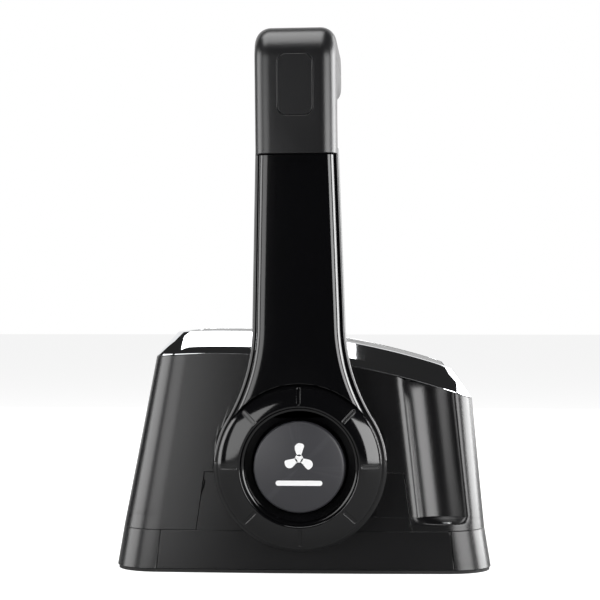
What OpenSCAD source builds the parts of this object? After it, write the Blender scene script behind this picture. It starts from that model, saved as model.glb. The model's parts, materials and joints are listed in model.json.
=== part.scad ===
// Single-lever binnacle control for a boat's shift and throttle.
// +X points aft, the lever side faces -Y and +Z is up.
// The origin is the middle of the deck gasket's underside.

/* [Base] */
// Length of the base at the deck
base_l = 184; // [150:1:230]
// Width of the base at the deck
base_w = 116; // [100:1:140]
// Height of the base band, gasket included
base_h = 20.4; // [17:0.1:30]
// Thickness of the deck gasket
gasket_t = 1.6; // [1:0.1:3]
// Corner radius of the base in plan
corner_r = 19; // [12:0.5:26]
// Inset of the base band's top edge from its bottom edge
band_taper = 3; // [1:0.1:5]
// Width of the inner deck flange
flange_w = 20; // [16:0.5:26]
// Thickness of the inner deck flange
flange_t = 5; // [3:0.5:8]
// Distance between deck screws along X
bolt_dx = 160; // [130:1:200]
// Distance between deck screws along Y
bolt_dy = 64; // [40:1:70]
// Radius of a deck screw hole
bolt_hole_r = 2.75; // [2:0.05:4]

/* [Housing] */
// Highest point of the bezel above the deck
roof_h = 117; // [105:1:150]
// Height of the bezel band
bezel_h = 11.4; // [8:0.2:16]
// How far the bezel slopes inward
bezel_slope = 10.4; // [6:0.2:14]
// Radius of the arched roof line
arch_r = 360; // [300:5:600]
// Distance of the roof's highest point forward of the hub
apex_fwd = 41; // [20:1:60]
// Wall thickness of the moulded shells
wall = 2.6; // [2:0.1:3.4]
// Lean of the forward end wall in degrees
bow_draft = 10.4; // [4:0.2:14]
// Lean of the aft end wall in degrees
aft_draft = 5.4; // [3:0.2:10]
// Lean of the side walls in degrees
side_draft = 5; // [2:0.2:7]
// Radius of the flute in each aft corner
flute_r = 16; // [12:0.5:20]
// Depth of the flute in each aft corner
flute_d = 7.5; // [4:0.5:9]

/* [Lever] */
// Height of the lever's shaft above the deck
hub_z = 53.2; // [50:0.5:64]
// Radius of the lever hub
hub_r = 39; // [34:0.5:44]
// Depth of the lever hub
hub_t = 20.5; // [18:0.5:26]
// Gap between the base and the lever's back
hub_gap = 1.5; // [1:0.1:4]
// Distance from the shaft to the top of the grip
lever_l = 208.8; // [170:1:250]
// Width of the front cover's arm where it leaves the hub
arm_root_w = 39.4; // [34:0.2:44]
// Width of the front cover's arm at the grip
arm_top_w = 35; // [30:0.2:40]
// How far the rear cover stands out beyond the front cover
rear_extra = 2.4; // [1:0.1:3]
// Radius of the sweep from the hub into the arm
blend_r = 90; // [60:1:120]
// Lean of the lever toward the bow in degrees
lean = 0.6; // [0:0.1:3]
// Width of the hand grip
grip_w = 38.8; // [32:0.2:44]
// Thickness of the hand grip's bar
grip_t = 30; // [24:0.5:36]
// Height of the grip's outer face
grip_face_h = 61; // [52:1:72]
// How far the grip reaches inward past the shaft's midpoint
grip_reach = 12; // [-10:1:20]
// Width of the blank switch plate
blank_w = 16.4; // [10:0.2:20]
// Height of the blank switch plate
blank_h = 28.8; // [20:0.2:36]

/* [Button] */
// Radius of the warm-up button's cap
cap_r = 21.6; // [16:0.2:24]
// Travel of the warm-up button
cap_travel = 3; // [2:0.1:3.5]
// Radius of the opening in the hub ring
cup_r = 27.7; // [25:0.1:30]

/* [Mechanism] */
// Radius of the main shaft
shaft_r = 8; // [7:0.1:9.6]
// Radius of the warm-up button's stem
stem_r = 3.1; // [2.4:0.1:3.8]
// Gear module
gear_m = 1.5; // [1.2:0.05:1.6]
// Teeth on the drive gear
drive_teeth = 24; // [20:1:26]
// Teeth on the shift gear
shift_teeth = 36; // [30:1:38]
// Thickness of both gears
gear_t = 8; // [6:0.5:10]
// Radius of the shift gear's axle
axle_r = 5; // [4:0.1:6.5]
// Thickness of the chassis side plates
plate_t = 4; // [3:0.5:5]
// Length of the throttle crank
crank_l = 34; // [26:1:36]
// Length of the shift arm
shift_arm_l = 26; // [22:1:27]
// Radius of the detent wheel
detent_r = 18; // [15:0.5:20]
// Radius of the detent plunger
plunger_r = 4; // [3:0.1:5]
// Travel of the detent plunger
plunger_travel = 2; // [1:0.1:3]

/* [Fits] */
// Radial clearance of a running fit
run_gap = 0.06; // [0.02:0.01:0.1]
// Gap between shells that meet at a seam
seam_gap = 0.2; // [0.1:0.05:0.4]
// Gap between moving and still parts
free_gap = 0.4; // [0.3:0.05:0.8]

/* [Hidden] */
$fn = 48;

satin_black = [0.07, 0.07, 0.08];
gloss_black = [0.02, 0.02, 0.02];
cap_grey = [0.2, 0.2, 0.22];
seal_black = [0.04, 0.04, 0.04];
chrome = [0.85, 0.86, 0.88];
steel = [0.6, 0.6, 0.62];
casting = [0.5, 0.5, 0.52];
brass = [0.78, 0.62, 0.3];
nylon = [0.85, 0.84, 0.78];
switch_red = [0.6, 0.12, 0.1];

// Plan outlines are drawn as an upper half and mirrored, so each pair of points shares its X.
corner_steps = 7;
side_steps = 12;
side_bow = 0.05;
big = 400;
screw_gap = 0.3;

function arch_z(x) = sqrt(pow(arch_r, 2) - pow(x + apex_fwd, 2)) - arch_r;

function quarter(cx, cy, r, a0) =
    [for (i = [0:corner_steps]) let (a = a0 - 90 * i / corner_steps) [cx + r * cos(a), cy + r * sin(a)]];

function half_plan(x0, x1, w, r0, r1) = concat(
    quarter(x0 + r0, w - r0, r0, 180),
    [for (i = [1:side_steps - 1]) [x0 + r0 + (x1 - r1 - x0 - r0) * i / side_steps, w]],
    quarter(x1 - r1, w - r1, r1, 90));

function bowed(points, x0, x1) =
    [for (p = points) [p[0], p[1] * (1 - side_bow * pow((2 * p[0] - x0 - x1) / (x1 - x0), 2))]];

function full_plan(half) = concat(half, [for (i = [len(half) - 1:-1:0]) [half[i][0], -half[i][1]]]);

function section_plan(s) = full_plan(bowed(half_plan(s[2], s[3], s[4], s[5], s[6]), s[2], s[3]));

// A section is [height, 1 if it follows the arch, x0, x1, half width, bow radius, aft radius].
module loft(sections) {
    rings = [for (s = sections) [for (p = section_plan(s)) [p[0], p[1], s[0] + s[1] * arch_z(p[0])]]];
    n = len(rings[0]);
    top = (len(sections) - 1) * n;
    sides = [for (k = [0:len(sections) - 2]) for (i = [0:n - 1]) let (j = (i + 1) % n)
        each [[k * n + i, k * n + j, k * n + n + j], [k * n + i, k * n + n + j, k * n + n + i]]];
    lids = [for (i = [0:n / 2 - 2])
        each [[n - 1 - i, n - 2 - i, i + 1, i], [top + i, top + i + 1, top + n - 2 - i, top + n - 1 - i]]];
    polyhedron(points = [for (r = rings) each r], faces = concat(sides, lids), convexity = 4);
}

// Body sizes at the seam above the base band and at the rim under the bezel
seam_x = base_l / 2 - band_taper;
seam_w = base_w / 2 - band_taper / 2;
rim_z = roof_h - bezel_h;
rim_x0 = -seam_x + (rim_z - base_h) * tan(bow_draft);
rim_x1 = seam_x - (rim_z + arch_z(0.45 * base_l) - base_h) * tan(aft_draft);
rim_w = seam_w - (rim_z - base_h) * tan(side_draft);
rim_r = corner_r - 3;

function side_y(z) = seam_w - (z - base_h) * tan(side_draft);

module band(inset, z0, z1) {
    loft([
        [z0, 0, -base_l / 2 + inset, base_l / 2 - inset, base_w / 2 - inset,
            corner_r - inset, corner_r - inset],
        [z1, 0, -seam_x + inset, seam_x - inset, seam_w - inset, corner_r - inset, corner_r - inset]
    ]);
}

module body(inset, over) {
    loft([
        [base_h - over, 0, -seam_x + inset, seam_x - inset, seam_w - inset,
            corner_r - inset, corner_r - inset],
        [rim_z + over, 1, rim_x0 + inset, rim_x1 - inset, rim_w - inset, rim_r - inset, rim_r - inset]
    ]);
}

// Draws a shape given in X and Z from one Y to another.
module across(y0, y1) {
    translate([0, y1, 0]) rotate([90, 0, 0]) linear_extrude(y1 - y0) children();
}

// A rod along Y through (x, z)
module rod(x, z, r, y0, y1) {
    translate([x, y1, z]) rotate([90, 0, 0]) cylinder(r = r, h = y1 - y0);
}

module tube(x, z, r_out, r_in, y0, y1) {
    difference() {
        rod(x, z, r_out, y0, y1);
        rod(x, z, r_in, y0 - 1, y1 + 1);
    }
}

// A rectangle with round corners
module round_rect(w, h, r) {
    square([w - 2 * r, h], center = true);
    square([w, h - 2 * r], center = true);
    for (x = [-1, 1])
        for (z = [-1, 1])
            translate([x * (w / 2 - r), z * (h / 2 - r)]) circle(r = r);
}

// A coil of wire along Z
module coil(r, wire_r, h, turns) {
    steps = 14 * turns;
    sides = 6;
    rise = h - 2 * wire_r;
    points = [for (k = [0:steps]) for (i = [0:sides - 1])
        let (t = 360 * turns * k / steps, a = 360 * i / sides, rr = r + wire_r * cos(a))
        [rr * cos(t), rr * sin(t), wire_r + rise * k / steps + wire_r * sin(a)]];
    skin = [for (k = [0:steps - 1]) for (i = [0:sides - 1])
        let (j = (i + 1) % sides, a = k * sides, b = a + sides)
        each [[a + i, a + j, b + j], [a + i, b + j, b + i]]];
    ends = [[for (i = [sides - 1:-1:0]) i], [for (i = [0:sides - 1]) steps * sides + i]];
    polyhedron(points = points, faces = concat(skin, ends));
}

// Deck gasket and base
opening_x = base_l / 2 - flange_w;
opening_y = base_w / 2 - flange_w;
opening_r = 8;
floor_z = gasket_t + flange_t;
skirt_t = 2;
skirt_x0 = -0.373 * base_l;
skirt_x1 = 0.391 * base_l;
skirt_lean = 2;

module deck_opening(grow) {
    translate([0, 0, -1]) linear_extrude(base_h) round_rect(2 * (opening_x + grow),
        2 * (opening_y + grow), opening_r + grow);
}

module deck_holes(r, z0, z1) {
    for (x = [-bolt_dx / 2, bolt_dx / 2])
        for (y = [-bolt_dy / 2, bolt_dy / 2])
            translate([x, y, z0]) cylinder(r = r, h = z1 - z0);
}

gasket_inset = 0.6;
module mounting_gasket() {
    color(seal_black)
        difference() {
            linear_extrude(gasket_t)
                polygon(full_plan(bowed(half_plan(-base_l / 2 + gasket_inset, base_l / 2 - gasket_inset,
                    base_w / 2 - gasket_inset, corner_r, corner_r), -base_l / 2, base_l / 2)));
            deck_opening(0);
            deck_holes(bolt_hole_r, -1, gasket_t + 1);
        }
}

module skirt_outline(inset) {
    polygon([
        [skirt_x0 - skirt_lean + inset, gasket_t + inset - 0.1],
        [skirt_x1 + skirt_lean - inset, gasket_t + inset - 0.1],
        [skirt_x1 - inset, base_h + 1],
        [skirt_x0 + inset, base_h + 1]
    ]);
}

// Screws through the aft ledges hold the housing down.
ledge_h = 6.6;
ledge_drop = 3.2;
ledge_x = seam_x - 19;
ledge_edge = side_y(base_h + ledge_h) * (1 - side_bow * pow(ledge_x / seam_x, 2));
ledge_y = ledge_edge - flute_d + 3.2;
flute_shift = 10;
hold_r = 1.5;
hold_head_r = 2.7;
hold_head_t = 1.8;
head_seat = ledge_drop + 1.1;
boss_r = 4;
hold_l = base_h + ledge_h - head_seat - floor_z - 1;

module at_ledges(z) {
    for (side = [-1, 1]) translate([ledge_x, side * ledge_y, z]) children();
}

module base_frame() {
    color(satin_black)
        difference() {
            union() {
                difference() {
                    band(0, gasket_t, base_h);
                    band(wall + skirt_t, floor_z, base_h + 1);
                }
                at_ledges(floor_z - 0.5) cylinder(r = boss_r, h = base_h - floor_z + 0.5);
            }
            deck_opening(0);
            deck_holes(bolt_hole_r, 0, floor_z + 1);
            at_ledges(floor_z) cylinder(r = hold_r, h = base_h);
            for (side = [[-base_w, 0], [0, base_w]])
                intersection() {
                    across(side[0], side[1]) skirt_outline(0);
                    difference() {
                        band(-1, gasket_t - 0.1, base_h + 1);
                        band(skirt_t, gasket_t - 0.2, base_h + 2);
                    }
                }
        }
}

module skirt_panel(y0, y1) {
    color(gloss_black)
        intersection() {
            across(y0, y1) skirt_outline(seam_gap);
            difference() {
                band(0, gasket_t, base_h);
                band(skirt_t - seam_gap / 2, gasket_t - 1, base_h + 1);
            }
        }
}

module skirt_panel_near() {
    skirt_panel(-base_w, 0);
}

module skirt_panel_far() {
    skirt_panel(0, base_w);
}

// The housing drops over the shaft, so both sides have a slot open at the bottom.
slot_top = hub_z - 4.7;
slot_x0 = -0.258 * base_l;
slot_x1 = 0.269 * base_l;
slot_lean = 4;
notch_r = 17.2;

module slot_outline(gap) {
    polygon([
        [slot_x0 - slot_lean + gap, base_h],
        [slot_x1 + slot_lean - gap, base_h],
        [slot_x1 - gap, slot_top - gap],
        [slot_x0 + gap, slot_top - gap]
    ]);
}

module slot_and_notch(gap) {
    slot_outline(gap);
    translate([0, hub_z]) circle(r = notch_r - gap);
    translate([-notch_r + gap, slot_top - 2]) square([2 * (notch_r - gap), hub_z - slot_top + 2]);
}

// The flutes stand on the ledges and lean in with the walls. Each ledge slopes down to the outside.
module flutes(grow) {
    for (side = [-1, 1])
        translate([ledge_x, side * (ledge_edge + flute_r - flute_d), base_h + ledge_h - ledge_drop - grow])
            rotate([side * side_draft, -atan2(flute_shift, rim_z - base_h), 0])
                cylinder(r = flute_r + grow, h = rim_z);
}

module ledges() {
    outer = ledge_edge + flute_d;
    inner = ledge_edge - 2 * flute_d;
    top = base_h + ledge_h;
    for (side = [-1, 1])
        translate([ledge_x - 2 * flute_r, 0, 0]) rotate([90, 0, 90]) linear_extrude(4 * flute_r)
            polygon([
                [side * outer, 0],
                [side * outer, top - 2 * ledge_drop],
                [side * inner, top + ledge_drop],
                [side * inner, 0]
            ]);
}

module housing() {
    color(satin_black)
        difference() {
            body(0, 0);
            difference() {
                body(wall, 1);
                flutes(wall);
            }
            difference() {
                flutes(0);
                ledges();
            }
            across(-base_w, -opening_y) translate([0, -0.01]) slot_and_notch(0);
            across(opening_y, base_w) translate([0, -0.01]) slot_and_notch(0);
            at_ledges(base_h - 1) cylinder(r = hold_r + screw_gap, h = ledge_h + 2);
            at_ledges(base_h + ledge_h - head_seat) cylinder(r = hold_head_r + screw_gap, h = ledge_h);
        }
}

module wall_piece(y0, y1) {
    intersection() {
        difference() {
            body(0, 0);
            body(wall, 1);
        }
        across(y0, y1) children();
    }
}

module slot_filler() {
    color(satin_black)
        difference() {
            wall_piece(-base_w, -opening_y) slot_outline(seam_gap);
            rod(0, hub_z, notch_r, -base_w, 0);
        }
}

module far_side_blank() {
    color(satin_black) wall_piece(opening_y, base_w) slot_and_notch(seam_gap);
}

module housing_screws() {
    color(steel)
        at_ledges(base_h + ledge_h - head_seat) {
            translate([0, 0, -hold_l]) cylinder(r = hold_r, h = hold_l);
            cylinder(r = hold_head_r, h = hold_head_t);
        }
}

// Bezel and top panel
bezel_t = 2.2;
panel_t = 1.6;
panel_inset = 4;
lip_w = 2.4;
top_r = 9;

module bezel_part(inset, drop, over) {
    loft([
        [rim_z - over, 1, rim_x0 + inset, rim_x1 - inset, rim_w - inset, rim_r - inset, rim_r - inset],
        [roof_h - drop, 1, rim_x0 + bezel_slope + inset, rim_x1 - bezel_slope + 1 - inset,
            rim_w - bezel_slope + 1 - inset, top_r - inset / 2, top_r - inset / 2]
    ]);
}

module roof_plate(inset, z0, z1) {
    loft([for (z = [z0, z1])
        [z, 1, rim_x0 + bezel_slope + inset, rim_x1 - bezel_slope + 1 - inset,
            rim_w - bezel_slope + 1 - inset, top_r - inset / 2, top_r - inset / 2]]);
}

module chrome_bezel() {
    color(chrome)
        difference() {
            translate([0, 0, seam_gap]) bezel_part(0, seam_gap, 0);
            bezel_part(bezel_t, bezel_t + panel_t, 2);
            roof_plate(panel_inset, roof_h - panel_t, roof_h + 1);
            roof_plate(panel_inset + lip_w, rim_z, roof_h + 1);
        }
}

module top_panel() {
    color(satin_black) roof_plate(panel_inset + seam_gap, roof_h - panel_t + 0.05, roof_h - 0.1);
}

// Lever planes, counted from the hub's back toward -Y
lever_y = base_w / 2 + hub_gap;
back_disc_t = 2.5;
core_t = 8;
core_w = 20;
core_bar_t = 6;
core_end = grip_reach - 12;
split_y = lever_y + 10.5;
ring_y = lever_y + 15;
front_y = lever_y + hub_t;
core_y0 = lever_y + back_disc_t + screw_gap;
core_y1 = core_y0 + core_t;
core_hub_r = shaft_r + 8;
top_z = hub_z + lever_l;
grip_z = top_z - grip_face_h;
arm_chamfer = 3;
face_drop = 2;
face_y = front_y - face_drop;
arm_z = hub_z + hub_r + 4;
blend_steps = 10;

module lever_turn() {
    translate([0, 0, hub_z]) rotate([0, -lean, 0]) translate([0, 0, -hub_z]) children();
}

// Side line of the lever: an arc tangent to the hub and to the arm, then straight up to the grip
function side_line(grow, end_z) =
    let (w = arm_root_w / 2 + grow, cx = w + blend_r,
        cz = sqrt(pow(hub_r + grow + blend_r, 2) - pow(cx, 2)), sweep = atan2(cz, cx))
    concat(
        [for (i = [0:blend_steps]) let (a = 180 + sweep * (1 - i / blend_steps))
            [cx + blend_r * cos(a), cz + blend_r * sin(a)]],
        [[arm_top_w / 2 + grow, end_z - hub_z]]);

module arm_outline(grow, end_z) {
    right = side_line(grow, end_z);
    translate([0, hub_z]) {
        circle(r = hub_r + grow, $fn = 96);
        polygon(concat(right, [for (i = [len(right) - 1:-1:0]) [-right[i][0], right[i][1]]]));
    }
}

module lever_core() {
    bar_z = top_z - grip_t / 2;
    color(casting)
        lever_turn()
            difference() {
                union() {
                    rod(0, hub_z, core_hub_r, -core_y1, -core_y0);
                    across(-core_y0 - core_bar_t, -core_y0)
                        translate([-core_w / 2, hub_z]) square([core_w, bar_z - hub_z]);
                    translate([-core_w / 2, -core_y0 - core_bar_t, bar_z - core_bar_t])
                        cube([core_w, core_y0 + core_bar_t + core_end, core_bar_t]);
                }
                rod(0, hub_z, shaft_r, -big, 0);
            }
}

module arm_pocket(end_z) {
    translate([-core_w / 2 - free_gap, hub_z]) square([core_w + 2 * free_gap, end_z]);
}

module lever_front_cover() {
    color(gloss_black)
        lever_turn()
            difference() {
                union() {
                    across(-ring_y, -split_y) arm_outline(0, grip_z - seam_gap);
                    hull()
                        for (step = [[ring_y - 0.5, 0], [face_y - 0.1, arm_chamfer + face_drop]])
                            across(-step[0] - 0.1, -step[0])
                                polygon([
                                    [-arm_root_w / 2 + step[1], arm_z],
                                    [arm_root_w / 2 - step[1], arm_z],
                                    [arm_top_w / 2 - step[1], grip_z - seam_gap],
                                    [-arm_top_w / 2 + step[1], grip_z - seam_gap]
                                ]);
                }
                rod(0, hub_z, cup_r + 0.1, -big, 0);
                across(-face_y + wall, -split_y + 1) translate([-core_w / 2, arm_z + 4])
                    square([core_w, grip_z - arm_z - 8]);
                at_cover_screws() rod(0, 0, cover_screw_r, -ring_y + 1, 0);
            }
}

cover_screw_r = 1.5;
cover_head_r = 2.8;
cover_head_t = 1.9;
cover_seat_y = lever_y + 2.2;
cover_screw_ring = (cup_r + hub_r) / 2 + 0.6;
module at_cover_screws() {
    for (a = [-20, 200, 240, 300])
        translate([cover_screw_ring * cos(a), 0, hub_z + cover_screw_ring * sin(a)]) children();
}

module lever_rear_cover() {
    color(gloss_black)
        lever_turn()
            difference() {
                across(-split_y + 0.05, -lever_y) arm_outline(rear_extra, grip_z - seam_gap);
                rod(0, hub_z, shaft_r + free_gap, -big, 0);
                rod(0, hub_z, cup_r + 1, -big, -core_y0 + free_gap / 2);
                across(-big, -core_y0 + free_gap / 2) arm_pocket(lever_l);
                at_cover_screws() {
                    rod(0, 0, cover_screw_r + 0.1, -big, 0);
                    rod(0, 0, cover_head_r + screw_gap, -cover_seat_y, 0);
                }
            }
}

module cover_screws() {
    color(steel)
        lever_turn()
            at_cover_screws() {
                rod(0, 0, cover_screw_r, -ring_y + 1.5, -cover_seat_y + 0.1);
                rod(0, 0, cover_head_r, -cover_seat_y, -cover_seat_y + cover_head_t);
            }
}

ring_out = hub_r - 0.3;
ring_edge = 2.2;
ring_chamfer = 1.2;
ring_rise = front_y - ring_y;
groove_w = 1.8;
groove_l = 9.4;
groove_lean = 12;
module hub_ring() {
    color(gloss_black)
        lever_turn()
            difference() {
                translate([0, -ring_y, hub_z]) rotate([90, 0, 0])
                    rotate_extrude($fn = 96)
                        polygon([
                            [cup_r + 0.1, 0],
                            [ring_out, 0],
                            [ring_out, ring_edge],
                            [ring_out - ring_chamfer, ring_edge + ring_chamfer],
                            [cup_r + 1, ring_rise],
                            [cup_r + 0.1, ring_rise - 0.6]
                        ]);
                for (a = [0:45:315])
                    translate([0, -front_y, hub_z]) rotate([0, a, 0])
                        translate([cup_r + 1.4, -1, -groove_w / 2])
                            rotate([0, 0, -groove_lean]) cube([groove_l, 2.6, groove_w]);
            }
}

cup_floor_y = core_y1 - 1.6;
cup_t = 1.4;
cup_rim = front_y - 3 - cup_floor_y;
cap_gap = 0.5;
core_ring = core_hub_r + screw_gap;
module recess_cup() {
    color(gloss_black)
        lever_turn()
            translate([0, -cup_floor_y, hub_z]) rotate([90, 0, 0])
                rotate_extrude($fn = 96)
                    polygon([
                        [core_ring, 0],
                        [cup_r, 0],
                        [cup_r, cup_rim],
                        [cup_r - cup_t, cup_rim],
                        [cup_r - cup_t, cup_rim - 3],
                        [cap_r + cap_gap, cup_rim - 5],
                        [cap_r + cap_gap, cup_t],
                        [core_ring, cup_t]
                    ]);
}

// Hand grip: an upright face that bends inward into a bar
grip_front = front_y + 2;
grip_back = lever_y + 0.5;
bend_r = 16;
edge_r = 9.4;
grip_wall = 3;
grip_plan_r = 7;

function arc_points(cx, cy, r, a0, a1) =
    [for (i = [0:corner_steps]) let (a = a0 + (a1 - a0) * i / corner_steps)
        [cx + r * cos(a), cy + r * sin(a)]];

module grip_side_view() {
    under_z = top_z - grip_t;
    end_r = grip_t / 2 - 1;
    polygon(concat(
        [[-grip_front, grip_z]],
        arc_points(-grip_front + bend_r, top_z - bend_r, bend_r, 180, 90),
        arc_points(grip_reach - end_r, top_z - end_r, end_r, 90, 0),
        arc_points(grip_reach - end_r, under_z + end_r, end_r, 0, -90),
        arc_points(-grip_back + bend_r, under_z - bend_r, bend_r, 90, 180),
        [[-grip_back, grip_z]]));
}

module grip_solid() {
    intersection() {
        translate([-grip_w / 2, 0, 0]) rotate([90, 0, 90]) linear_extrude(grip_w) grip_side_view();
        across(-big, big) {
            translate([0, top_z - grip_face_h]) round_rect(grip_w, 2 * grip_face_h, edge_r);
        }
        translate([0, (grip_reach - grip_front) / 2, 0])
            linear_extrude(big) round_rect(grip_w, grip_front + grip_reach, grip_plan_r);
    }
}

part_y = core_y0 + core_bar_t + 1.4;
part_z = top_z - grip_t / 2 + 0.4;
module under_part(gap) {
    translate([-big / 2, -part_y + gap, -1]) cube([big, big, part_z + 1 - gap]);
}

module grip_cover() {
    inner_w = grip_w - 2 * grip_wall - 2;
    color(satin_black)
        lever_turn()
            difference() {
                grip_solid();
                under_part(0);
                translate([-inner_w / 2, -grip_front + grip_wall, grip_z + grip_wall])
                    cube([inner_w, grip_front - part_y, part_z - grip_z]);
                translate([-inner_w / 2, -part_y + 2, part_z - 2])
                    cube([inner_w, part_y + grip_reach - 16, top_z - part_z - grip_wall + 2]);
                across(-big, -part_y) translate([0, blank_z]) round_rect(blank_w + 2 * seam_gap,
                    blank_h + 2 * seam_gap, blank_r + seam_gap);
            }
}

module grip_underside() {
    bar_z = top_z - grip_t / 2 - core_bar_t - free_gap;
    color(satin_black)
        lever_turn()
            difference() {
                intersection() {
                    grip_solid();
                    under_part(seam_gap);
                }
                across(-big, -core_y0 + free_gap) arm_pocket(lever_l);
                translate([-core_w / 2 - free_gap, -big, bar_z])
                    cube([core_w + 2 * free_gap, big + core_end + free_gap, grip_t]);
                at_grip_screws() cylinder(r = grip_screw_r + screw_gap, h = grip_t, center = true);
            }
}

grip_screw_r = 1.9;
module at_grip_screws() {
    for (y = [-0.62 * lever_y, -0.25 * lever_y])
        translate([0, y, top_z - grip_t]) children();
}

module grip_screws() {
    color(steel)
        lever_turn()
            at_grip_screws() {
                translate([0, 0, 1]) cylinder(r = grip_screw_r, h = grip_t / 2 - core_bar_t - 1);
            }
}

blank_r = 4.1;
blank_lip = 2;
blank_lip_y = grip_front - grip_wall - 0.1;
blank_z = grip_z + 0.53 * grip_face_h;
module switch_blank() {
    color(satin_black)
        lever_turn() {
            across(-grip_front, -blank_lip_y) translate([0, blank_z]) round_rect(blank_w, blank_h, blank_r);
            across(-blank_lip_y, -blank_lip_y + 1.3) translate([0, blank_z])
                round_rect(blank_w + 2 * blank_lip, blank_h + 2 * blank_lip, blank_r + blank_lip);
        }
}

// Main shaft with its nut and button
plate_y = base_w / 2 - 16;
bush_over = 1.6;
shaft_back = plate_y + plate_t + 3.4;
nut_t = 3.2;
thread_r = shaft_r - 1.5;
nut_r = thread_r + 4.6;
bore_end = -8;

module shaft_nut() {
    color(steel)
        difference() {
            translate([0, -core_y1, hub_z]) rotate([90, 0, 0])
                cylinder(r = nut_r, h = nut_t, $fn = 6);
            rod(0, hub_z, thread_r, -big, 0);
        }
}

module main_shaft() {
    color(steel)
        difference() {
            union() {
                rod(0, hub_z, shaft_r, -core_y1, shaft_back);
                rod(0, hub_z, thread_r, -core_y1 - nut_t - 0.4, -core_y1);
            }
            rod(0, hub_z, stem_r + run_gap, -big, bore_end);
            tube(0, hub_z, shaft_r + 1, shaft_r - 1, clip_y, clip_y + clip_t);
            translate([-key_w / 2, key_y0, hub_z + shaft_r - key_d])
                cube([key_w, key_y1 - key_y0, shaft_r]);
        }
}

// One long key drives every wheel on the shaft.
key_w = 4;
key_d = 2;
key_y0 = -plate_y + 2;
key_y1 = plate_y - 4;
module shaft_key() {
    color(steel)
        translate([-key_w / 2, key_y0, hub_z + shaft_r - key_d]) cube([key_w, key_y1 - key_y0, 2 * key_d]);
}

module keyed_bore() {
    rod(0, hub_z, shaft_r, -plate_y, plate_y);
    translate([-key_w / 2 - 0.05, -plate_y, hub_z]) cube([key_w + 0.1, 2 * plate_y, shaft_r + key_d + 0.1]);
}

cap_back = front_y - 6.4;
cap_top_t = 2.2;
cap_chamfer = 1;
cap_wall = 2;
stem_tip_r = stem_r - 0.6;
cap_front = front_y - 0.4;
module button_cap() {
    color(cap_grey)
        difference() {
            translate([0, -cap_back, hub_z]) rotate([90, 0, 0])
                rotate_extrude($fn = 96)
                    polygon([
                        [cap_r - cap_wall, 0],
                        [cap_r, 0],
                        [cap_r, cap_front - cap_back - cap_chamfer],
                        [cap_r - cap_chamfer, cap_front - cap_back],
                        [0, cap_front - cap_back],
                        [0, cap_front - cap_back - cap_top_t],
                        [cap_r - cap_wall, cap_front - cap_back - cap_top_t]
                    ]);
            rod(0, hub_z, stem_tip_r, -cap_front + 1, 0);
        }
}

module button_stem() {
    color(steel) {
        rod(0, hub_z, stem_r, -cap_front + cap_top_t, bore_end - cap_travel - 1);
        rod(0, hub_z, stem_tip_r, -cap_front + 1, -cap_front + cap_top_t + 1);
    }
}

spring_r = (nut_r + core_hub_r) / 2 - 0.2;
module button_spring() {
    color(steel)
        translate([0, -core_y1, hub_z]) rotate([90, 0, 0])
            coil(spring_r, 0.5, cap_front - cap_top_t - core_y1, 4);
}

// Where the shaft leaves the housing
seal_t = 3.1;
collar_y = lever_y - 0.7;
seal_r = shaft_r + 4;
module shaft_collar() {
    color(nylon)
        difference() {
            rod(0, hub_z, notch_r - seam_gap, -collar_y, -plate_y - plate_t);
            rod(0, hub_z, seal_r, -big, 0);
        }
}

module shaft_seal() {
    color(seal_black) tube(0, hub_z, seal_r, shaft_r + free_gap, -collar_y + 0.2, -collar_y + 0.2 + seal_t);
}

// Chassis
plate_x0 = -68;
plate_x1 = 54;
// The plates' aft edge draws back towards the top, to clear the flutes' inner walls
flute_relief = 6;
plate_roof = 0.76 * rim_z + 5;
foot_w = 60;
foot_t = 3;
foot_l = 6.4;
foot_edge = 8;
foot_head_r = 3.2;
foot_head_t = 2.2;
chassis_screw_r = 2;
shift_turn = 197.2;
gear_gap = gear_m * (drive_teeth + shift_teeth) / 2;
shift_x = gear_gap * cos(shift_turn);
shift_z = hub_z + gear_gap * sin(shift_turn);
spacers = [[plate_x0 + 9, plate_roof - 9], [plate_x1 - 9, hub_z + 12], [plate_x1 - 9, floor_z + 9],
    [plate_x0 + 4.6, floor_z + 5]];
spacer_r = 3.6;
bush_r = shaft_r + 3;
bush_flange_r = shaft_r + 6;

module plate_outline() {
    difference() {
        polygon([
            [plate_x0, floor_z + 0.1],
            [plate_x1, floor_z + 0.1],
            [plate_x1, hub_z - 8],
            [plate_x1 - flute_relief, hub_z + 16],
            [plate_x1 - 18, plate_roof],
            [plate_x0 + 14, plate_roof],
            [plate_x0, plate_roof - 16]
        ]);
        translate([0, hub_z]) circle(r = bush_r);
        translate([shift_x, shift_z]) circle(r = axle_r);
    }
}

module chassis_plate(side) {
    y0 = side < 0 ? -plate_y - plate_t : plate_y;
    foot_y0 = side < 0 ? -plate_y - plate_t - foot_l : plate_y + plate_t - 0.1;
    color(casting)
        difference() {
            union() {
                across(y0, y0 + plate_t) plate_outline();
                translate([-foot_w / 2, foot_y0, floor_z]) cube([foot_w, foot_l + 0.1, foot_t]);
                translate([-foot_w / 2, y0, floor_z]) cube([foot_w, plate_t, foot_t]);
            }
            for (x = [-foot_w / 2 + foot_edge, foot_w / 2 - foot_edge])
                translate([x, side * (plate_y + plate_t + foot_l / 2), 0])
                    cylinder(r = chassis_screw_r + 0.2, h = rim_z);
        }
}

module chassis_plate_near() {
    chassis_plate(-1);
}

module chassis_plate_far() {
    chassis_plate(1);
}

module chassis_spacers() {
    color(steel)
        for (p = spacers) rod(p[0], p[1], spacer_r, -plate_y, plate_y);
}

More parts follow.
